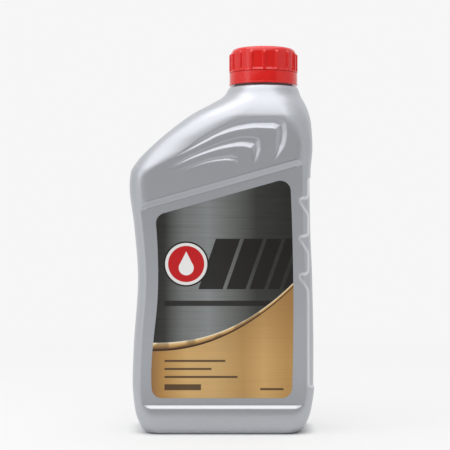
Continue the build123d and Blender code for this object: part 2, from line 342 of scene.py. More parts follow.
def soft_min(a, b, soft):
    """The lesser of two values, rounded where they are within the softness of each other."""
    near = np.maximum(soft - np.abs(a - b), 0) / soft
    return np.minimum(a, b) - near**2 * soft / 4


def body_columns():
    """For each column round the body, anticlockwise from the left end of the front: its share
    of the way from left to right, its share of the corner's radius that way, and both the
    same from front to back."""
    share = [np.arange(count) / count for count in column_counts]

    def corner(t):
        """Shares of the corner's radius, across and deep, along its curve."""
        across = (1 - t) ** 3 + 3 * (1 - t) ** 2 * t * (1 - quarter_pull)
        deep = 3 * (1 - t) * t**2 * (1 - quarter_pull) + t**3
        return across, deep

    right_front = corner(share[1])
    right_back = corner(1 - share[3])
    left_back = corner(share[5])
    left_front = corner(1 - share[7])
    parts = [
        (share[0], 1, 0, 0),
        (1, right_front[0], 0, right_front[1]),
        (1, 0, share[2], 1),
        (1, right_back[0], 1, right_back[1]),
        (1 - share[4], 1, 1, 0),
        (0, left_back[0], 1, left_back[1]),
        (0, 0, 1 - share[6], 1),
        (0, left_front[0], 0, left_front[1]),
    ]
    rows = []
    for part in parts:
        size = max(np.size(value) for value in part)
        rows.append(np.stack([np.broadcast_to(value, size) for value in part]))
    return np.concatenate(rows, axis=1)


column_right, column_across, column_back, column_deep = body_columns()
column_count = len(column_right)


def section_points(height, left_in, right_in, deep_in):
    """Places round the rounded section of the body at heights, inside it by level insets."""
    west = -half_width + along(left_side, height) + left_in
    east = half_width - along(right_side, height) - right_in
    deep = half_depth - along(deep_side, height) - deep_in
    drop = ledge_height - height
    turret = turret_radius - turret_flat
    corner = heel_round + (edge_round - heel_round) * ramp(heel_grows, height)
    slope = corner + (shoulder_round - corner) * ramp(shoulder_grows, drop)
    west_round = slope + (turret - slope) * ramp(turret_closes, drop) - left_in
    corner = corner + (turret - corner) * ramp(turret_grows, drop)
    east_round = corner - right_in
    deep_round = corner - deep_in
    x_left = west + west_round * column_across
    x_right = east - east_round * column_across
    x = x_left + (x_right - x_left) * column_right
    y_front = deep_round * column_deep - deep
    y = y_front * (1 - 2 * column_back)
    share = np.where((column_back > 0) & (column_back < 1), column_back, 0)
    y = np.where(share > 0, (deep_round - deep) * (1 - 2 * share), y)
    return x, y


def inset_points(height, inset):
    """Places round the body at heights, inside its skin by an inset square to the wall."""
    insets = [square_inset(side, height, inset) for side in (left_side, right_side, deep_side)]
    return section_points(height, *insets)


def recess_top(x):
    """Height of the slanted top of the recess's floor."""
    return ledge_height - recess_top_drop + recess_top_rise * (x + half_width) / body_width


def recess_at(x, z):
    """Depth of the label recess, below zero outside it."""
    low = recess_depth * (z - recess_bottom) / recess_bottom_bevel
    high = recess_depth * (recess_top(x) + recess_top_bevel - z) / recess_top_bevel
    return soft_min(np.minimum(low, high), recess_depth, recess_soft)


def groove_arms():
    """Middle line and half width of each groove arm, close together along it."""
    arms = []
    for tip, long_pairs, short_pairs, tail in grooves:
        arms.append([(tip, tip)] + long_pairs)
        arms.append([(tail, tail)] + short_pairs[::-1] + long_pairs[-1:])
    for arm in arms:
        edges = np.array(arm, float)
        middle = edges.mean(axis=1)
        half = np.maximum(np.linalg.norm(edges[:, 0] - edges[:, 1], axis=1) / 2, groove_tip)
        lengths = np.linalg.norm(np.diff(middle, axis=0), axis=1)
        place = np.concatenate([[0], np.cumsum(lengths)])
        fine = np.linspace(0, place[-1], int(place[-1] / groove_step) + 2)
        lines = [along(list(zip(place, values)), fine) for values in (*middle.T, half)]
        yield np.stack(lines)


def groove_at(x, z):
    """Depth of the bent grooves below the plane of the front, below zero outside them."""
    depth = np.full(x.shape, -far_off)
    height = z - ledge_height
    zone = (height > groove_zone[0]) & (height < groove_zone[1])
    for across, up, half in groove_arms():
        far = np.hypot(x[zone][:, None] - across, height[zone][:, None] - up)
        far = np.sqrt(far**2 + groove_crease**2)
        arm = (2 * groove_slope * (half - far)).max(axis=1)
        depth[zone] = np.maximum(depth[zone], arm)
    return depth


def panel_edge(x, z):
    """Distance inside the outline of the side panel and its notches, below zero outside it."""
    border = half_width - panel_border
    nose = border - notch_reach
    edge = [(body_width, panel_bottom), (border, panel_bottom)]
    for count in reversed(range(notch_count)):
        top = ledge_height - notch_drop - count * notch_pitch
        edge += [(border, top - notch_height), (nose, top - notch_flat), (nose, top), (border, top)]
    panel_top = ledge_height - panel_top_drop
    edge += [(border, panel_top), (body_width, panel_top)]
    edge = [tuple(point) for point in rounded(edge, notch_round)]
    distance = np.full(x.shape, -far_off)
    zone = x > nose - 4 * panel_bevel
    px, pz = x[zone], z[zone]
    nearest = np.full(px.shape, far_off)
    inside = np.zeros(px.shape, bool)
    for (x1, z1), (x2, z2) in zip(edge, edge[1:] + edge[:1]):
        run, rise = x2 - x1, z2 - z1
        t = np.clip(((px - x1) * run + (pz - z1) * rise) / (run**2 + rise**2), 0, 1)
        nearest = np.minimum(nearest, np.hypot(px - x1 - t * run, pz - z1 - t * rise))
        crosses = (z1 > pz) != (z2 > pz)
        inside ^= crosses & (px < x1 + (pz - z1) * run / (rise if rise != 0 else 1))
    distance[zone] = np.where(inside, nearest, -nearest)
    return distance


def panel_share(x, z):
    """1 on the side panel and its notches, 0 outside, with a smooth bevel between."""
    return ramp((-panel_bevel / 2, panel_bevel / 2), panel_edge(x, z))


def painted_shading_and_tone(x, z):
    """Above 0 for painted highlights: along the side panel's outline and on the recess's lower
    bevel.
    Below 0 for painted shade: along the edges of the recess and on the grooves' upper sides."""
    front = np.abs(x) < half_width - edge_round
    # Painted highlight: a light line all round the side panel's outline and its notches
    outline_highlight = 1 - ramp(panel_highlight_line, np.abs(panel_edge(x, z)))
    # Painted highlight along the middle of the recess's lower bevel, on the front only
    bevel_middle = recess_bottom + bevel_highlight_place * recess_bottom_bevel
    bevel = bevel_highlight_strength * front * (1 - ramp(bevel_highlight_line, np.abs(z - bevel_middle)))
    # Painted shade: dark lines along both edges of the recess's top bevel, and weaker ones along
    # its bottom bevel
    slant = math.hypot(1, recess_top_rise / body_width)
    top = recess_top(x)
    from_edges = [
        (z - top) / slant + recess_shade_gap,
        (z - top - recess_top_bevel) / slant - recess_shade_gap,
        z - recess_bottom + recess_shade_gap,
        z - recess_bottom - recess_bottom_bevel - recess_shade_gap,
    ]
    lines = 1 - ramp(recess_shade_line, np.abs(from_edges))
    recess = np.maximum(lines[:2].max(axis=0), recess_low_shade * lines[2:].max(axis=0))
    # Painted shade on the grooves' upper sides, which face down
    reach = groove_side_reach
    fall = (groove_at(x, z - reach) - groove_at(x, z + reach)) / (4 * groove_slope * reach)
    shaded_upper_side = np.clip(fall, 0, 1) * (groove_at(x, z) > 0)
    dark = np.maximum(recess, groove_side_shade * shaded_upper_side)
    return np.maximum(outline_highlight, bevel) - dark * front


def skin_rings(rows):
    """Rings of the skin from the heel to the turret. Its rows lean with the top of the recess."""
    lean = recess_top_rise / body_width * ramp(lean_starts, rows) * ramp(lean_ends, rows)
    z = np.repeat(rows[:, None], column_count, axis=1)
    for _ in range(3):
        x, y = inset_points(z, 0)
        z = rows[:, None] + lean[:, None] * x
    x, y = inset_points(z, panel_depth * panel_share(x, z))
    depth = np.abs(y)
    depth = soft_min(depth, half_depth - recess_at(x, z), recess_soft)
    depth = depth + soft_min(np.zeros(x.shape), -groove_at(x, z), groove_soft)
    return np.stack([x, np.sign(y) * depth, z], axis=-1)


def inner_rings(rows):
    """Rings of the inside wall, plain and clear of the recesses of the skin."""
    z = np.repeat(rows[:, None], column_count, axis=1)
    x, y = inset_points(z, wall + panel_depth)
    limit = half_depth - inner_front_inset
    return np.stack([x, np.clip(y, -limit, limit), z], axis=-1)


def level_ring(height, inset, lift):
    """One ring of the base at a level, inside the outline of the heel by a level inset."""
    height = np.full(column_count, float(height))
    x, y = section_points(height, inset, inset, inset)
    return np.stack([x, y, np.full(column_count, float(lift))], axis=-1)


def neck_ring(radius, height):
    """One ring round the neck, with its points in line with the columns of the body."""
    x, y = section_points(np.full(column_count, ledge_height), 0, 0, 0)
    reach = np.hypot(x - neck_x, y)
    x = neck_x + (x - neck_x) / reach * radius
    return np.stack([x, y / reach * radius, np.full(column_count, float(height))], axis=-1)


def rounded(profile, radius, steps=3):
    """The open profile with its inner corners rounded off."""
    points = [np.array(p, float) for p in profile]
    smooth = [points[0]]
    for before, corner, after in zip(points, points[1:], points[2:]):
        reach = [min(radius, 0.45 * np.linalg.norm(side - corner)) for side in (before, after)]
        start = corner + (before - corner) / np.linalg.norm(before - corner) * reach[0]
        end = corner + (after - corner) / np.linalg.norm(after - corner) * reach[1]
        for step in range(steps + 1):
            t = step / steps
            smooth.append(start * (1 - t) ** 2 + corner * 2 * t * (1 - t) + end * t**2)
    return smooth + [points[-1]]


def new_object(name, data):
    """A new object in the scene."""
    thing = bpy.data.objects.new(name, data)
    bpy.context.scene.collection.objects.link(thing)
    return thing


def make_object(name, points, faces, material, body, slot):
    """A smooth mesh object from millimetre points, riding on a body."""
    mesh = bpy.data.meshes.new(name)
    mesh.from_pydata((np.asarray(points) * MM).tolist(), [], faces)
    edit = bmesh.new()
    edit.from_mesh(mesh)
    bmesh.ops.recalc_face_normals(edit, faces=edit.faces)
    edit.to_mesh(mesh)
    edit.free()
    mesh.shade_smooth()
    mesh.materials.append(material)
    piece = new_object(name, mesh)
    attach(piece, body)
    return piece


def shell(rings, start=None, end=None, loop=False):
    """Points and faces of a surface through rings, closed by a point at either end or in a loop."""
    rings = np.asarray(rings, float)
    count, size = rings.shape[:2]
    index = np.arange(count * size).reshape(count, size)
    lower = index if loop else index[:-1]
    upper = np.roll(index, -1, axis=0) if loop else index[1:]
    lower_next = np.roll(lower, -1, axis=1)
    upper_next = np.roll(upper, -1, axis=1)
    faces = np.stack([lower, lower_next, upper_next, upper], axis=-1).reshape(-1, 4).tolist()
    points = rings.reshape(-1, 3).tolist()
    if start is not None:
        faces += [(len(points), int(b), int(a)) for a, b in zip(index[0], np.roll(index[0], -1))]
        points.append(list(start))
    if end is not None:
        faces += [(int(a), int(b), len(points)) for a, b in zip(index[-1], np.roll(index[-1], -1))]
        points.append(list(end))
    return points, faces


def turned_rings(profile, columns=160):
    """Rings round the axis of the neck from a profile of radius and height."""
    angle = np.arange(columns) * 2 * math.pi / columns
    circle = np.stack([np.cos(angle), np.sin(angle)], axis=-1)
    rings = []
    for radius, height in profile:
        level = np.full((columns, 1), float(height))
        rings.append(np.concatenate([circle * radius + (neck_x, 0), level], axis=1))
    return np.array(rings)


# Materials


class Nodes:
    """The node tree of a material or the world, with short calls for the nodes used here."""

    def __init__(self, name, world=False):
        self.owner = (bpy.data.worlds if world else bpy.data.materials).new(name)
        self.owner.use_nodes = True
        self.tree = self.owner.node_tree
        self.shader = self.tree.nodes["Background" if world else "Principled BSDF"]
        output = self.tree.nodes["World Output" if world else "Material Output"]
        self.surface = output.inputs["Surface"]

    def put(self, socket, value):
        """Link a socket to an output, or give it a plain value."""
        if isinstance(value, bpy.types.NodeSocket):
            self.tree.links.new(value, socket)
        else:
            socket.default_value = value

    def set(self, node, inputs):
        """Put values on a node's inputs, by name or number."""
        for name, value in inputs.items():
            self.put(node.inputs[name], value)

    def node(self, kind, inputs=None, **settings):
        """A new node with its inputs and settings."""
        made = self.tree.nodes.new(kind)
        for name, value in settings.items():
            setattr(made, name, value)
        self.set(made, inputs or {})
        return made

    def math(self, operation, *values):
        """Result of a sum on one to three values."""
        inputs = dict(enumerate(values))
        return self.node("ShaderNodeMath", inputs, operation=operation).outputs[0]

    def length(self, first, second):
        """Length of the slope across two sides of a right angle."""
        square = self.math("MULTIPLY", second, second)
        return self.math("SQRT", self.math("MULTIPLY_ADD", first, first, square))

    def mix(self, share, first, second, blend="MIX"):
        """First colour blended with a share of the second."""
        inputs = {"Factor": share, 6: first, 7: second}
        return self.node("ShaderNodeMix", inputs, data_type="RGBA", blend_type=blend).outputs[2]

    def place(self, scale=(1, 1, 1)):
        """Object coordinates in millimetres, stretched by the scale."""
        coordinates = self.node("ShaderNodeTexCoord").outputs["Object"]
        inputs = {"Vector": coordinates, "Scale": [value / MM for value in scale]}
        return self.node("ShaderNodeMapping", inputs).outputs[0]

    def parts(self, vector):
        """The three parts of a vector."""
        return tuple(self.node("ShaderNodeSeparateXYZ", {0: vector}).outputs)

    def noise(self, vector, scale, detail=2.0):
        """Smooth noise from 0 to 1 at a place."""
        inputs = {"Vector": vector, "Scale": scale, "Detail": detail}
        return self.node("ShaderNodeTexNoise", inputs).outputs[0]

    def span(self, value, low, high, **settings):
        """How far a value is on its way from low to high, from 0 to 1."""
        inputs = {"Value": value, "From Min": low, "From Max": high}
        return self.node("ShaderNodeMapRange", inputs, **settings).outputs[0]

    def step(self, value, edge, soft):
        """0 below the edge and 1 above it, with a soft crossing."""
        half = soft / 2
        return self.span(value, edge - half, edge + half, interpolation_type="SMOOTHSTEP")

    def band(self, value, low, high, soft):
        """1 between two edges and 0 outside them."""
        return self.math("SUBTRACT", self.step(value, low, soft), self.step(value, high, soft))

    def colours(self, value, low, high, stops):
        """Colour at a value between low and high, from stops of value and colour."""
        made = self.node("ShaderNodeValToRGB", {0: self.span(value, low, high)})
        ramp_stops = made.color_ramp.elements
        while len(ramp_stops) < len(stops):
            ramp_stops.new(1.0)
        for stop, (place, colour) in zip(ramp_stops, stops):
            stop.position = (place - low) / (high - low)
            stop.color = srgb(*colour)
        return made.outputs[0]

    def grey(self, value):
        """A value as a grey colour."""
        return self.node("ShaderNodeCombineColor", {0: value, 1: value, 2: value}).outputs[0]

    def dress(self, colour, fine, spread, least):
        """Give the surface its colour, and a roughness that varies with a fine noise."""
        rough = self.math("MULTIPLY_ADD", fine, spread, least)
        self.set(self.shader, {"Base Color": colour, "Roughness": rough})

    def bump(self, height, strength, distance):
        """Fine relief on the surface from a height."""
        inputs = {"Height": height, "Strength": strength, "Distance": distance}
        self.set(self.shader, {"Normal": self.node("ShaderNodeBump", inputs).outputs[0]})

    def seen(self):
        """1 for what the camera sees, mirrored and through clear matter too, 0 for the rest."""
        path = self.node("ShaderNodeLightPath").outputs
        either = self.math("MAXIMUM", path["Is Camera Ray"], path["Is Glossy Ray"])
        return self.math("MAXIMUM", either, path["Is Transmission Ray"])

    def show(self, share, other):
        """Show the shader with a share of another in its place."""
        inputs = {0: share, 1: self.shader.outputs[0], 2: other.outputs[0]}
        self.put(self.surface, self.node("ShaderNodeMixShader", inputs).outputs[0])


def srgb(red, green, blue):
    """A display colour of 0 to 255 as the linear colour that nodes take."""
    linear = []
    for value in (red, green, blue):
        share = value / 255
        linear.append(share / 12.92 if share <= 0.04045 else ((share + 0.055) / 1.055) ** 2.4)
    return (*linear, 1.0)


# Paler stripe down the side panel: where it starts across, its heights and its depths
stripe_left = 51.0
stripe_heights = (28.0, 148.0)
stripe_depths = (-14.0, 14.0)


def body_plastic():
    """Satin silver-grey plastic: fine metallic pigment, a paler stripe down the right side, and
    painted highlights and painted shade from a tone stored on the points.
    """
    nodes = Nodes("body_plastic")
    place = nodes.place()
    x, y, z = nodes.parts(place)
    flake = nodes.noise(place, 3.2, 3.0)
    cloud = nodes.noise(place, 0.05, 2.0)
    grey = nodes.mix(flake, srgb(171, 174, 180), srgb(187, 190, 195))
    grey = nodes.mix(nodes.math("MULTIPLY", cloud, 0.25), grey, srgb(192, 194, 198))
    stripe = nodes.step(x, stripe_left, 3.0)
    stripe = nodes.math("MULTIPLY", stripe, nodes.band(z, *stripe_heights, 1.5))
    stripe = nodes.math("MULTIPLY", stripe, nodes.band(y, *stripe_depths, 6.0))
    grey = nodes.mix(stripe, grey, srgb(204, 205, 207))
    # Painted highlights lighten the grey where the stored tone is above 0; painted shade, and the
    # graduation bars' darker tone, darken it where the tone is below 0
    tone = nodes.node("ShaderNodeAttribute", attribute_name="painted_shading_and_tone").outputs["Fac"]
    grey = nodes.mix(nodes.math("MAXIMUM", tone, 0.0), grey, srgb(214, 215, 219))
    dark = nodes.math("MAXIMUM", nodes.math("MULTIPLY", tone, -0.5), 0.0)
    grey = nodes.mix(dark, grey, srgb(120, 122, 128))
    nodes.dress(grey, flake, 0.1, 0.29)
    nodes.set(nodes.shader, {"Metallic": 0.6})
    nodes.bump(nodes.noise(place, 1.1, 2.0), 0.12, 0.00012)
    return nodes.owner


def closure_plastic():
    """Glossy red moulded plastic with a faint flow in its colour."""
    nodes = Nodes("closure_plastic")
    place = nodes.place()
    flow = nodes.noise(nodes.place((1, 1, 0.3)), 0.35, 3.0)
    red = nodes.mix(flow, srgb(211, 24, 20), srgb(223, 31, 25))
    fine = nodes.noise(place, 2.0, 2.0)
    nodes.dress(red, fine, 0.1, 0.13)
    nodes.bump(fine, 0.1, 0.0001)
    return nodes.owner


def liner_foam():
    """White foam with fine pores."""
    nodes = Nodes("liner_foam")
    pores = nodes.noise(nodes.place(), 2.5, 4.0)
    white = nodes.mix(pores, srgb(226, 226, 220), srgb(246, 246, 243))
    nodes.dress(white, pores, 0.2, 0.6)
    nodes.bump(pores, 0.4, 0.0002)
    return nodes.owner


# Printed design of the label, in millimetres across and up. The ribbon's edges are curves of a
# start, a rise and a power; lines are left, right, low and high
print_soft = 0.25
print_span = (-41.0, 41.0)
ribbon_left = -39.5
ribbon_right = 41.0
ribbon_top = (53.2, 34.4, 2.3)
ribbon_foot = (48.4, 36.8, 2.13)
badge_middle = (-20.5, 98.5)
badge_radius = 13.0
badge_rim = 0.9
badge_ring = 2.6
drop_radius = 4.3
drop_sink = 2.2
drop_heights = (-0.4, 9.0)
drop_half_width = 3.6
drop_taper = 0.5
rule_left = -33.0
rule_heights = (74.4, 77.4)
band_low = 84.0
band_high = 113.0
band_lean = 0.35
band_start = -8.5
band_widths = (14.0, 11.0, 8.5, 6.5, 4.5)
band_gap = 2.2
gold_lines = [
    (-33.0, 2.0, 42.2, 43.4),
    (-33.0, -6.0, 37.6, 38.8),
    (-33.0, 9.0, 33.0, 34.2),
    (-33.0, -12.0, 26.0, 29.4),
    (22.0, 35.5, 26.0, 27.2),
]


def label_film():
    """Printed film: dark brushed field above, gold one below, and a curved ribbon between."""
    nodes = Nodes("label_film")
    place = nodes.place()
    x, _, z = nodes.parts(place)

    # Brushed fields
    brushed = nodes.noise(nodes.place((0.02, 1, 2.4)), 1.0, 3.0)
    streak = nodes.noise(nodes.place((0.05, 1, 0.5)), 1.0, 2.0)
    steel = nodes.colours(
        x, *print_span,
        [
            (-40.0, (26, 25, 22)), (-33.0, (44, 43, 40)), (-22.0, (118, 121, 120)),
            (-8.0, (138, 142, 142)), (5.0, (108, 110, 108)), (20.0, (52, 53, 48)),
            (38.0, (32, 33, 27)),
        ],
    )
    gold = nodes.colours(
        x, *print_span,
        [
            (-40.0, (150, 110, 64)), (-34.0, (180, 135, 72)), (-20.0, (210, 170, 108)),
            (-4.0, (204, 166, 108)), (12.0, (184, 144, 86)), (24.0, (206, 164, 102)),
            (38.0, (184, 142, 80)),
        ],
    )
    deep_gold = nodes.mix(nodes.step(z, 60.0, 50.0), gold, srgb(140, 98, 50))
    field_line = nodes.math("MULTIPLY_ADD", brushed, 0.5, 0.75)
    steel = nodes.mix(1.0, steel, nodes.grey(field_line), "MULTIPLY")
    steel = nodes.mix(nodes.math("MULTIPLY", streak, 0.22), steel, srgb(80, 82, 80))
    gold = nodes.mix(0.55, gold, deep_gold)
    gold = nodes.mix(0.35, gold, nodes.mix(1.0, gold, nodes.grey(field_line), "MULTIPLY"))

    # Slanted dark blocks across the dark field
    slant = nodes.math("MULTIPLY_ADD", z, -band_lean, x)
    slant = nodes.math("ADD", slant, band_lean * (band_low + band_high) / 2)
    blocks = 0.0
    block_left = band_start
    for width in band_widths:
        block = nodes.band(slant, block_left, block_left + width, print_soft)
        blocks = nodes.math("ADD", blocks, block)
        block_left += width + band_gap
    blocks = nodes.math("MULTIPLY", blocks, nodes.band(z, band_low, band_high, print_soft))
    steel = nodes.mix(nodes.math("MULTIPLY", blocks, 0.94), steel, srgb(22, 18, 16))
    rule = nodes.band(z, *rule_heights, print_soft)
    rule = nodes.math("MULTIPLY", rule, nodes.step(x, rule_left, print_soft))
    steel = nodes.mix(nodes.math("MULTIPLY", rule, 0.9), steel, srgb(24, 20, 18))

    # Round badge with a drop
    across = nodes.math("SUBTRACT", x, badge_middle[0])
    up = nodes.math("SUBTRACT", z, badge_middle[1])
    far = nodes.length(across, up)
    for radius, colour in (
        (badge_radius, (24, 22, 20)),
        (badge_radius - badge_rim, (232, 230, 228)),
        (badge_radius - badge_ring, (196, 16, 22)),
    ):
        outside = nodes.step(far, radius, print_soft)
        steel = nodes.mix(outside, srgb(*colour), steel)
    from_low = nodes.length(across, nodes.math("ADD", up, drop_sink))
    drop_round = nodes.math("SUBTRACT", 1.0, nodes.step(from_low, drop_radius, print_soft))
    side = nodes.math("ABSOLUTE", across)
    reach = nodes.math("MULTIPLY_ADD", up, -drop_taper, drop_half_width)
    taper = nodes.step(nodes.math("SUBTRACT", reach, side), 0.0, print_soft)
    taper = nodes.math("MULTIPLY", taper, nodes.band(up, *drop_heights, print_soft))
    drop = nodes.math("MAXIMUM", drop_round, taper)
    steel = nodes.mix(drop, steel, srgb(240, 238, 236))

    # Thin lines on the gold field
    for left, right, low, high in gold_lines:
        line = nodes.band(x, left, right, print_soft)
        line = nodes.math("MULTIPLY", line, nodes.band(z, low, high, print_soft))
        gold = nodes.mix(nodes.math("MULTIPLY", line, 0.88), gold, srgb(58, 36, 20))

    # Ribbon between two rising curves
    share = nodes.math("SUBTRACT", x, ribbon_left)
    share = nodes.math("MAXIMUM", nodes.math("DIVIDE", share, ribbon_right - ribbon_left), 0.0)
    edges = []
    for start, rise, power in (ribbon_foot, ribbon_top):
        curve = nodes.math("POWER", share, power)
        edges.append(nodes.math("MULTIPLY_ADD", curve, rise, start))
    above_foot = nodes.math("SUBTRACT", z, edges[0])
    above_top = nodes.math("SUBTRACT", z, edges[1])
    breadth = nodes.math("SUBTRACT", edges[1], edges[0])
    through = nodes.math("DIVIDE", above_foot, breadth)
    metal = nodes.colours(
        through, 0.0, 1.0,
        [
            (0.0, (40, 22, 10)), (0.2, (58, 34, 16)), (0.32, (146, 104, 56)),
            (0.62, (206, 164, 104)), (0.84, (232, 200, 146)), (1.0, (252, 244, 222)),
        ],
    )
    glint = nodes.noise(nodes.place((0.09, 1, 0.09)), 1.0, 1.0)
    metal = nodes.mix(nodes.step(glint, 0.58, 0.12), metal, nodes.mix(0.5, metal, srgb(70, 46, 24)))
    art = nodes.mix(nodes.step(above_foot, 0.0, print_soft), gold, metal)
    art = nodes.mix(nodes.step(above_top, 0.0, print_soft), art, steel)
    nodes.dress(art, brushed, 0.12, 0.24)
    nodes.set(nodes.shader, {"Metallic": 0.15})
    return nodes.owner


# Bottle


def bottle_shell():
    """The bottle as one closed surface: up the outside, over the rim and down the inside."""
    rows = np.concatenate(
        [np.arange(round((end - start) / gap)) * gap + start for start, end, gap in row_spans]
    )
    top_of_slope = push_up_land + push_up_slope
    base = [
        level_ring(0, top_of_slope + 6.0, push_up_height),
        level_ring(0, top_of_slope + 0.6, push_up_height),
        level_ring(0, top_of_slope - 0.5, push_up_height - 0.2),
        level_ring(0, push_up_land + 0.6, 0.3),
        level_ring(0, push_up_land, 0.05),
        level_ring(0, push_up_land - 0.6, 0.0),
        level_ring(0, 1.0, 0.0),
        level_ring(0, 0.3, 0.04),
        level_ring(0.12, 0.0, 0.12),
    ]
    neck_profile = rounded(
        [
            (turret_radius - 0.06, ledge_height - 0.4),
            (turret_radius - 0.1, ledge_height),
            (neck_radius, ledge_height),
            (neck_radius, bead_bottom),
            (bead_radius, bead_bottom),
            (bead_radius, bead_bottom + bead_edge),
            (neck_radius, bead_bottom + bead_height),
            (neck_radius, (bead_bottom + bead_height + rim_height) / 2),
            (neck_radius, rim_height),
            (bore_radius, rim_height),
            (bore_radius, ledge_height - wall),
            (bore_radius + 2.0, ledge_height - wall),
        ],
        0.35,
        steps=1,
    )
    neck = [neck_ring(radius, height) for radius, height in neck_profile[1:]]
    inner_rows = np.arange(ledge_height - 2 * wall, wall + push_up_height + 1, -inner_row_gap)
    floor = wall + push_up_height
    inner_base = [level_ring(floor, inset, floor) for inset in (2.0, 5.0, 15.0)]
    rings = base + list(skin_rings(rows)) + neck + list(inner_rings(inner_rows)) + inner_base
    return shell(rings, (0, 0, push_up_height), (0, 0, floor))


def thread_ridge(radius, outward, root, crest, turns, start):
    """Helical ridge on a round wall, outward from it (1) or inward (-1), with tapered ends."""
    steps_per_turn = 90
    share = np.linspace(0, 1, int(turns * steps_per_turn) + 1)
    fade = 0.05
    height = thread_height * ramp((0, fade), share) * ramp((1, 1 - fade), share)
    angle = 2 * math.pi * turns * share
    soft = 0.2
    profile = [
        (0, -root / 2), (1 - soft, -crest / 2 - soft), (1, -crest / 2 + soft),
        (1, crest / 2 - soft), (1 - soft, crest / 2 + soft), (0, root / 2),
    ]
    rings = []
    for place, turned, tall in zip(share, angle, height):
        level = start + thread_pitch * turns * place
        ring = []
        for reach, up in profile:
            distance = radius + outward * (reach * (tall + thread_bite) - thread_bite)
            x = neck_x + distance * math.cos(turned)
            ring.append((x, distance * math.sin(turned), level + up))
        rings.append(ring)
    rings = np.array(rings)
    return shell(rings, rings[0].mean(axis=0), rings[-1].mean(axis=0))


def graduation_bar(height):
    """One slot-shaped bar on the floor of the side panel, with its front edge rounded."""
    side = half_width - along(right_side, height) - panel_depth
    points = 40
    angle = np.arange(points) * 2 * math.pi / points
    straight = (bar_length - bar_height) / 2
    rings = []
    crown = side + bar_proud
    for x, inside in ((side - bar_sunk, 0), (crown - 0.3, 0), (crown - 0.08, 0.1), (crown, 0.35)):
        radius = bar_height / 2 - inside
        y = radius * np.cos(angle) + straight * np.sign(np.round(np.cos(angle), 6))
        z = radius * np.sin(angle) + height
        rings.append(np.stack([np.full(points, float(x)), y, z], axis=-1))
    return shell(rings, (side - bar_sunk, 0, height), (crown, 0, height))


def set_tone(piece, values):
    """Store one tone for each point of a piece, for its material to read."""
    tone = piece.data.attributes.new("painted_shading_and_tone", "FLOAT", "POINT")
    tone.data.foreach_set("value", values)


body = body_plastic()
bottle = make_object("bottle_body", *bottle_shell(), body, "bottle", "body_plastic")
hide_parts("bottle")
places = np.empty(3 * len(bottle.data.vertices))
bottle.data.vertices.foreach_get("co", places)
places = places.reshape(-1, 3) / MM
# Painted highlights and painted shade along the skin's edges, stored on its points for the material
set_tone(bottle, painted_shading_and_tone(places[:, 0], places[:, 2]))
neck_ridge = thread_ridge(
    neck_radius, 1, neck_thread_root, neck_thread_crest, neck_thread_turns, thread_start
)
make_object("neck_thread", *neck_ridge, body, "bottle", "body_plastic")
for number in range(bar_count):
    name = f"graduation_bar_{number + 1}"
    bar_shell = graduation_bar(bar_bottom + number * bar_pitch)
    bar = make_object(name, *bar_shell, body, "bottle", "body_plastic")
    set_tone(bar, np.full(len(bar.data.vertices), bar_tone))


# Closure


def rib_columns():
    """Angles round the cap, close together at the edges of each rib, and each one's share of it."""
    pitch = 2 * math.pi / rib_count
    half = rib_width / 2

    # Columns on one side of a rib's middle, drawn for a rib of this half width
    drawn_half = 0.65
    side = np.array([0.0, 0.3, 0.5, 0.6, 0.7, 0.8, 0.95, 1.3, 2.2, 3.2]) * half / drawn_half
    offsets = np.concatenate([-side[:0:-1], side, [pitch * cap_radius / 2]])
    share = 1 - ramp([half + place for place in rib_side], np.abs(offsets))
    angles = []
    shares = []
    for count in range(rib_count):
        angles.append(-math.pi / 2 + count * pitch + offsets / cap_radius)
        shares.append(share)
    return np.concatenate(angles), np.concatenate(shares)


def cap_shell():
    """The cap as one closed surface: from its top down the ribs and up its inside. Each ring is
    the plain round cap, moved out to the ribs by their share of the angle and of the height."""
    angles, shares = rib_columns()
    rib_top = cap_top - rib_drop
    rounding = []
    round_steps = 8
    for step in range(round_steps + 1):
        turn = step / round_steps * math.pi / 2
        radius = cap_panel_radius - cap_top_round * (1 - math.sin(turn))
        rounding.append((radius, cap_top - cap_top_round * (1 - math.cos(turn))))
    foot = cap_bottom + cap_foot
    fine_gap = 0.3
    wide_gap = 1.2
    skirt_top = cap_top - cap_top_round - fine_gap / 2
    skirt = [(cap_panel_radius, skirt_top - fine_gap * step) for step in range(6)]
    skirt += [(cap_panel_radius, rib_top - wide_gap * step) for step in range(1, 7)]
    lower = rounded(
        [
            (cap_panel_radius, foot + rib_proud + 0.6), (cap_panel_radius, foot + rib_proud),
            (cap_radius, foot), (cap_radius, cap_bottom), (cap_inner_radius, cap_bottom),
            (cap_inner_radius, inside_top - 4.0), (cap_inner_radius, inside_top),
            (2.0, inside_top),
        ],
        moulded_round,
    )
    profile = [(3.0, cap_top), (cap_panel_radius - cap_top_round - 1.0, cap_top)]
    profile += rounding + skirt + [tuple(point) for point in lower]
    rings = []

    # No rib moves a point past these first ones of the foot, so the inside stays round
    foot_points = 8
    outside = len(profile) - len(lower) + foot_points
    for number, (radius, height) in enumerate(profile):
        out = np.full(len(angles), float(radius))
        if number < outside and radius >= cap_panel_radius - cap_top_round and height > foot:
            over = float(ramp((rib_top + rib_proud + 0.1, rib_top - 0.1), height))
            rib = cap_panel_radius + rib_proud * over
            out = np.maximum(out, out + (rib - out) * shares * (over > 0))
        ring = [neck_x + out * np.cos(angles), out * np.sin(angles), np.full(len(angles), height)]
        rings.append(np.stack(ring, axis=-1))
    return shell(rings, (neck_x, 0, cap_top), (neck_x, 0, inside_top))


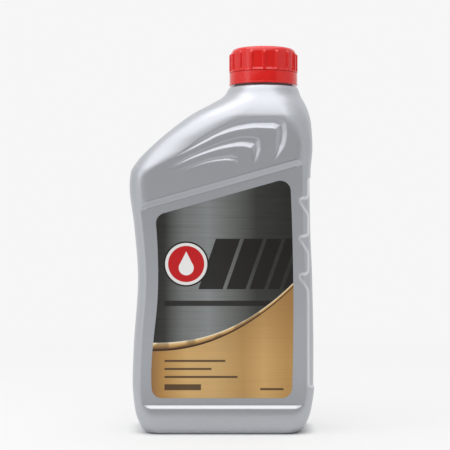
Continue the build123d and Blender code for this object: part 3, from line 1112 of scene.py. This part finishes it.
def bridge_stubs():
    """Stubs of the bridges on the ring, as small blocks in one surface list."""
    middle = ring_radius - bridge_depth / 2 - ring_step
    points = []
    faces = []
    for count in range(rib_count):
        turn = math.radians(bridge_turn + count * 360 / rib_count)
        block = []
        for shrink, height in ((0, ring_top - 0.3), (0, bridge_top - 0.1), (0.12, bridge_top)):
            ring = []
            for along_ring, out in ((-1, -1), (1, -1), (1, 1), (-1, 1)):
                side = along_ring * (bridge_width / 2 - shrink)
                reach = middle + out * (bridge_depth / 2 - shrink)
                x = neck_x + reach * math.cos(turn) - side * math.sin(turn)
                ring.append((x, reach * math.sin(turn) + side * math.cos(turn), height))
            block.append(ring)
        block = np.array(block)
        block_points, block_faces = shell(block, block[0].mean(axis=0), block[-1].mean(axis=0))
        faces += [tuple(index + len(points) for index in face) for face in block_faces]
        points += block_points
    return points, faces


red = closure_plastic()
cap = make_object("cap_shell", *cap_shell(), red, "cap", "closure_plastic")
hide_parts("cap")
cap_ridge = thread_ridge(
    cap_inner_radius, -1, cap_thread_root, cap_thread_crest, cap_thread_turns,
    thread_start + thread_pitch / 2,
)
make_object("cap_thread", *cap_ridge, red, "cap", "closure_plastic")

ring_inner_radius = bead_radius + ring_clearance
hook_radius = neck_radius + hook_clearance
hook_top = ring_bottom + hook_lift
ring_crown = ring_top + 0.2
ring_profile = [
    (ring_inner_radius, ring_crown),
    (ring_inner_radius, hook_top),
    (hook_radius, hook_top),
    (hook_radius, hook_top - hook_height),
    (ring_inner_radius, ring_bottom),
    (ring_radius + ring_flare, ring_bottom),
    (ring_radius, ring_bottom + hook_height),
    (ring_radius, ring_crown),
]
crown_middle = ((ring_profile[0][0] + ring_profile[-1][0]) / 2, ring_crown)
ring_outline = rounded([crown_middle] + ring_profile + [crown_middle], moulded_round)[:-1]
ring_shell = shell(turned_rings(ring_outline), loop=True)
tamper_ring = make_object("tamper_ring_shell", *ring_shell, red, "bottle", "closure_plastic")
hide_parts("tamper_ring")
make_object("bridge_stubs", *bridge_stubs(), red, "bottle", "closure_plastic")

liner_profile = [
    (2.0, inside_top),
    (liner_radius, inside_top),
    (liner_radius, liner_bottom),
    (2.0, liner_bottom),
]
liner_rings = turned_rings(rounded(liner_profile, 0.25))
liner_shell = shell(liner_rings, (neck_x, 0, inside_top), (neck_x, 0, liner_bottom))
liner = make_object("liner_disc", *liner_shell, liner_foam(), "liner", "liner_foam")
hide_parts("cap_liner")

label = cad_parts["front_label"]
label.data.materials.clear()
label.data.materials.append(label_film())

# Stage: a pale floor that fades into the backdrop, soft lamps, and cards that stand in for
# the room and are seen in reflections only: its dark front, its two sides and the tabletop

backdrop_colour = srgb(246, 246, 246)
floor_reach = 6.0
floor_glow_near = 0.65
floor_near = (0.004, 0.008)
floor_far = (0.4, 0.7)

# The flat foot of the object, in metres: half its size inside its rounding, and the rounding
foot_half = (0.038, 0.0125)
foot_round = 0.011


def floor_material():
    """Lit by the lamps round the object, and as bright as the backdrop further away."""
    nodes = Nodes("floor_paper")
    x, y, _ = nodes.parts(nodes.node("ShaderNodeTexCoord").outputs["Object"])
    outside = [
        nodes.math("MAXIMUM", nodes.math("SUBTRACT", nodes.math("ABSOLUTE", value), half), 0.0)
        for value, half in zip((x, y), foot_half)
    ]
    distance = nodes.math("SUBTRACT", nodes.length(*outside), foot_round)
    near = nodes.step(distance, *floor_near)
    far = nodes.step(distance, *floor_far)
    share = nodes.math("MULTIPLY", near, floor_glow_near)
    share = nodes.math("MULTIPLY_ADD", far, 1 - floor_glow_near, share)
    paper = {"Base Color": srgb(245, 245, 245), "Roughness": 0.9, "Specular IOR Level": 0.0}
    nodes.set(nodes.shader, paper)
    glow = nodes.node("ShaderNodeEmission", {"Color": backdrop_colour})
    nodes.show(nodes.math("MULTIPLY", share, nodes.seen()), glow)
    return nodes.owner


def flat_card(name, corners, material):
    """A card with four corners, in metres."""
    mesh = bpy.data.meshes.new(name)
    mesh.from_pydata(corners, [], [(0, 1, 2, 3)])
    mesh.materials.append(material)
    return new_object(name, mesh)


floor_corners = [
    (x * floor_reach, y * floor_reach, 0) for x, y in ((-1, -1), (1, -1), (1, 1), (-1, 1))
]
floor = flat_card("floor", floor_corners, floor_material())
floor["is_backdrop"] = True


def studio_world():
    """Plain soft light all round, and the backdrop where it is seen, mirrored or looked through."""
    nodes = Nodes("studio", world=True)
    nodes.set(nodes.shader, {"Color": (1, 1, 1, 1), "Strength": 0.54})
    nodes.show(nodes.seen(), nodes.node("ShaderNodeBackground", {"Color": backdrop_colour}))
    return nodes.owner


bpy.context.scene.world = studio_world()


def aim(thing, target):
    """Turn an object so that it looks at a point."""
    direction = target - thing.location
    thing.rotation_euler = direction.to_track_quat("-Z", "Y").to_euler()


object_low, object_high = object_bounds()
object_middle = (object_low + object_high) / 2


def softbox(name, place, size, radiance):
    """Rectangular lamp that looks at the middle of the object, as bright as its radiance."""
    data = bpy.data.lights.new(name, "AREA")
    data.shape = "RECTANGLE"
    data.size, data.size_y = size
    data.energy = radiance * math.pi * size[0] * size[1]
    lamp = new_object(name, data)
    lamp.location = place
    aim(lamp, object_middle)
    lamp.visible_camera = False


softbox("key", (-0.2, -0.55, 1.14), (1.6, 1.1), 1.4)
softbox("overhead", (0.0, 0.15, 1.35), (1.2, 0.7), 1.8)
softbox("left_window", (-1.0, -0.45, 0.45), (0.7, 0.5), 1.2)


def reflector(name, corners, brightness):
    """A card that is seen in reflections only, as bright as the light off its face."""
    nodes = Nodes(name)
    glow = nodes.node("ShaderNodeEmission", {"Strength": brightness})
    nodes.put(nodes.surface, glow.outputs[0])
    card = flat_card(name, corners, nodes.owner)
    card.visible_camera = False
    card.visible_diffuse = False
    card.visible_shadow = False
    card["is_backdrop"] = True


def upright(start, end, low, high):
    """Corners of an upright card between two places on the floor."""
    return [(*start, low), (*end, low), (*end, high), (*start, high)]


room_corners = [(-1.0, -1.0, -0.4), (1.0, -1.0, -0.4), (1.0, -1.0, 0.72), (-1.0, -1.0, 0.4)]
reflector("dark_room", room_corners, 0.18)
reflector("right_wall", upright((1.0, -1.0), (1.0, 0.5), -0.4, 1.2), 0.68)
reflector("left_wall", upright((-1.0, -1.0), (-1.0, 0.5), -0.4, 1.2), 0.72)
table_height = 0.002
table_corners = [(-0.15, -0.16), (0.15, -0.16), (0.15, -0.045), (-0.15, -0.045)]
reflector("grey_table", [(*corner, table_height) for corner in table_corners], 0.4)

# Camera: level, straight on, with the frame's middle line at the horizon
camera_x = 1.79
camera_distance = 780.0
camera_height = 120.9
focal_pixels = 1310.0
frame_pixels = 450.0
camera_data = bpy.data.cameras.new("camera")
camera_data.sensor_width = 36.0
camera_data.lens = camera_data.sensor_width * focal_pixels / frame_pixels
camera = new_object("camera", camera_data)
camera.location = (camera_x * MM, -camera_distance * MM, camera_height * MM)
camera.rotation_euler = (math.pi / 2, 0, 0)
bpy.context.scene.camera = camera
bpy.context.scene.view_settings.view_transform = "Standard"
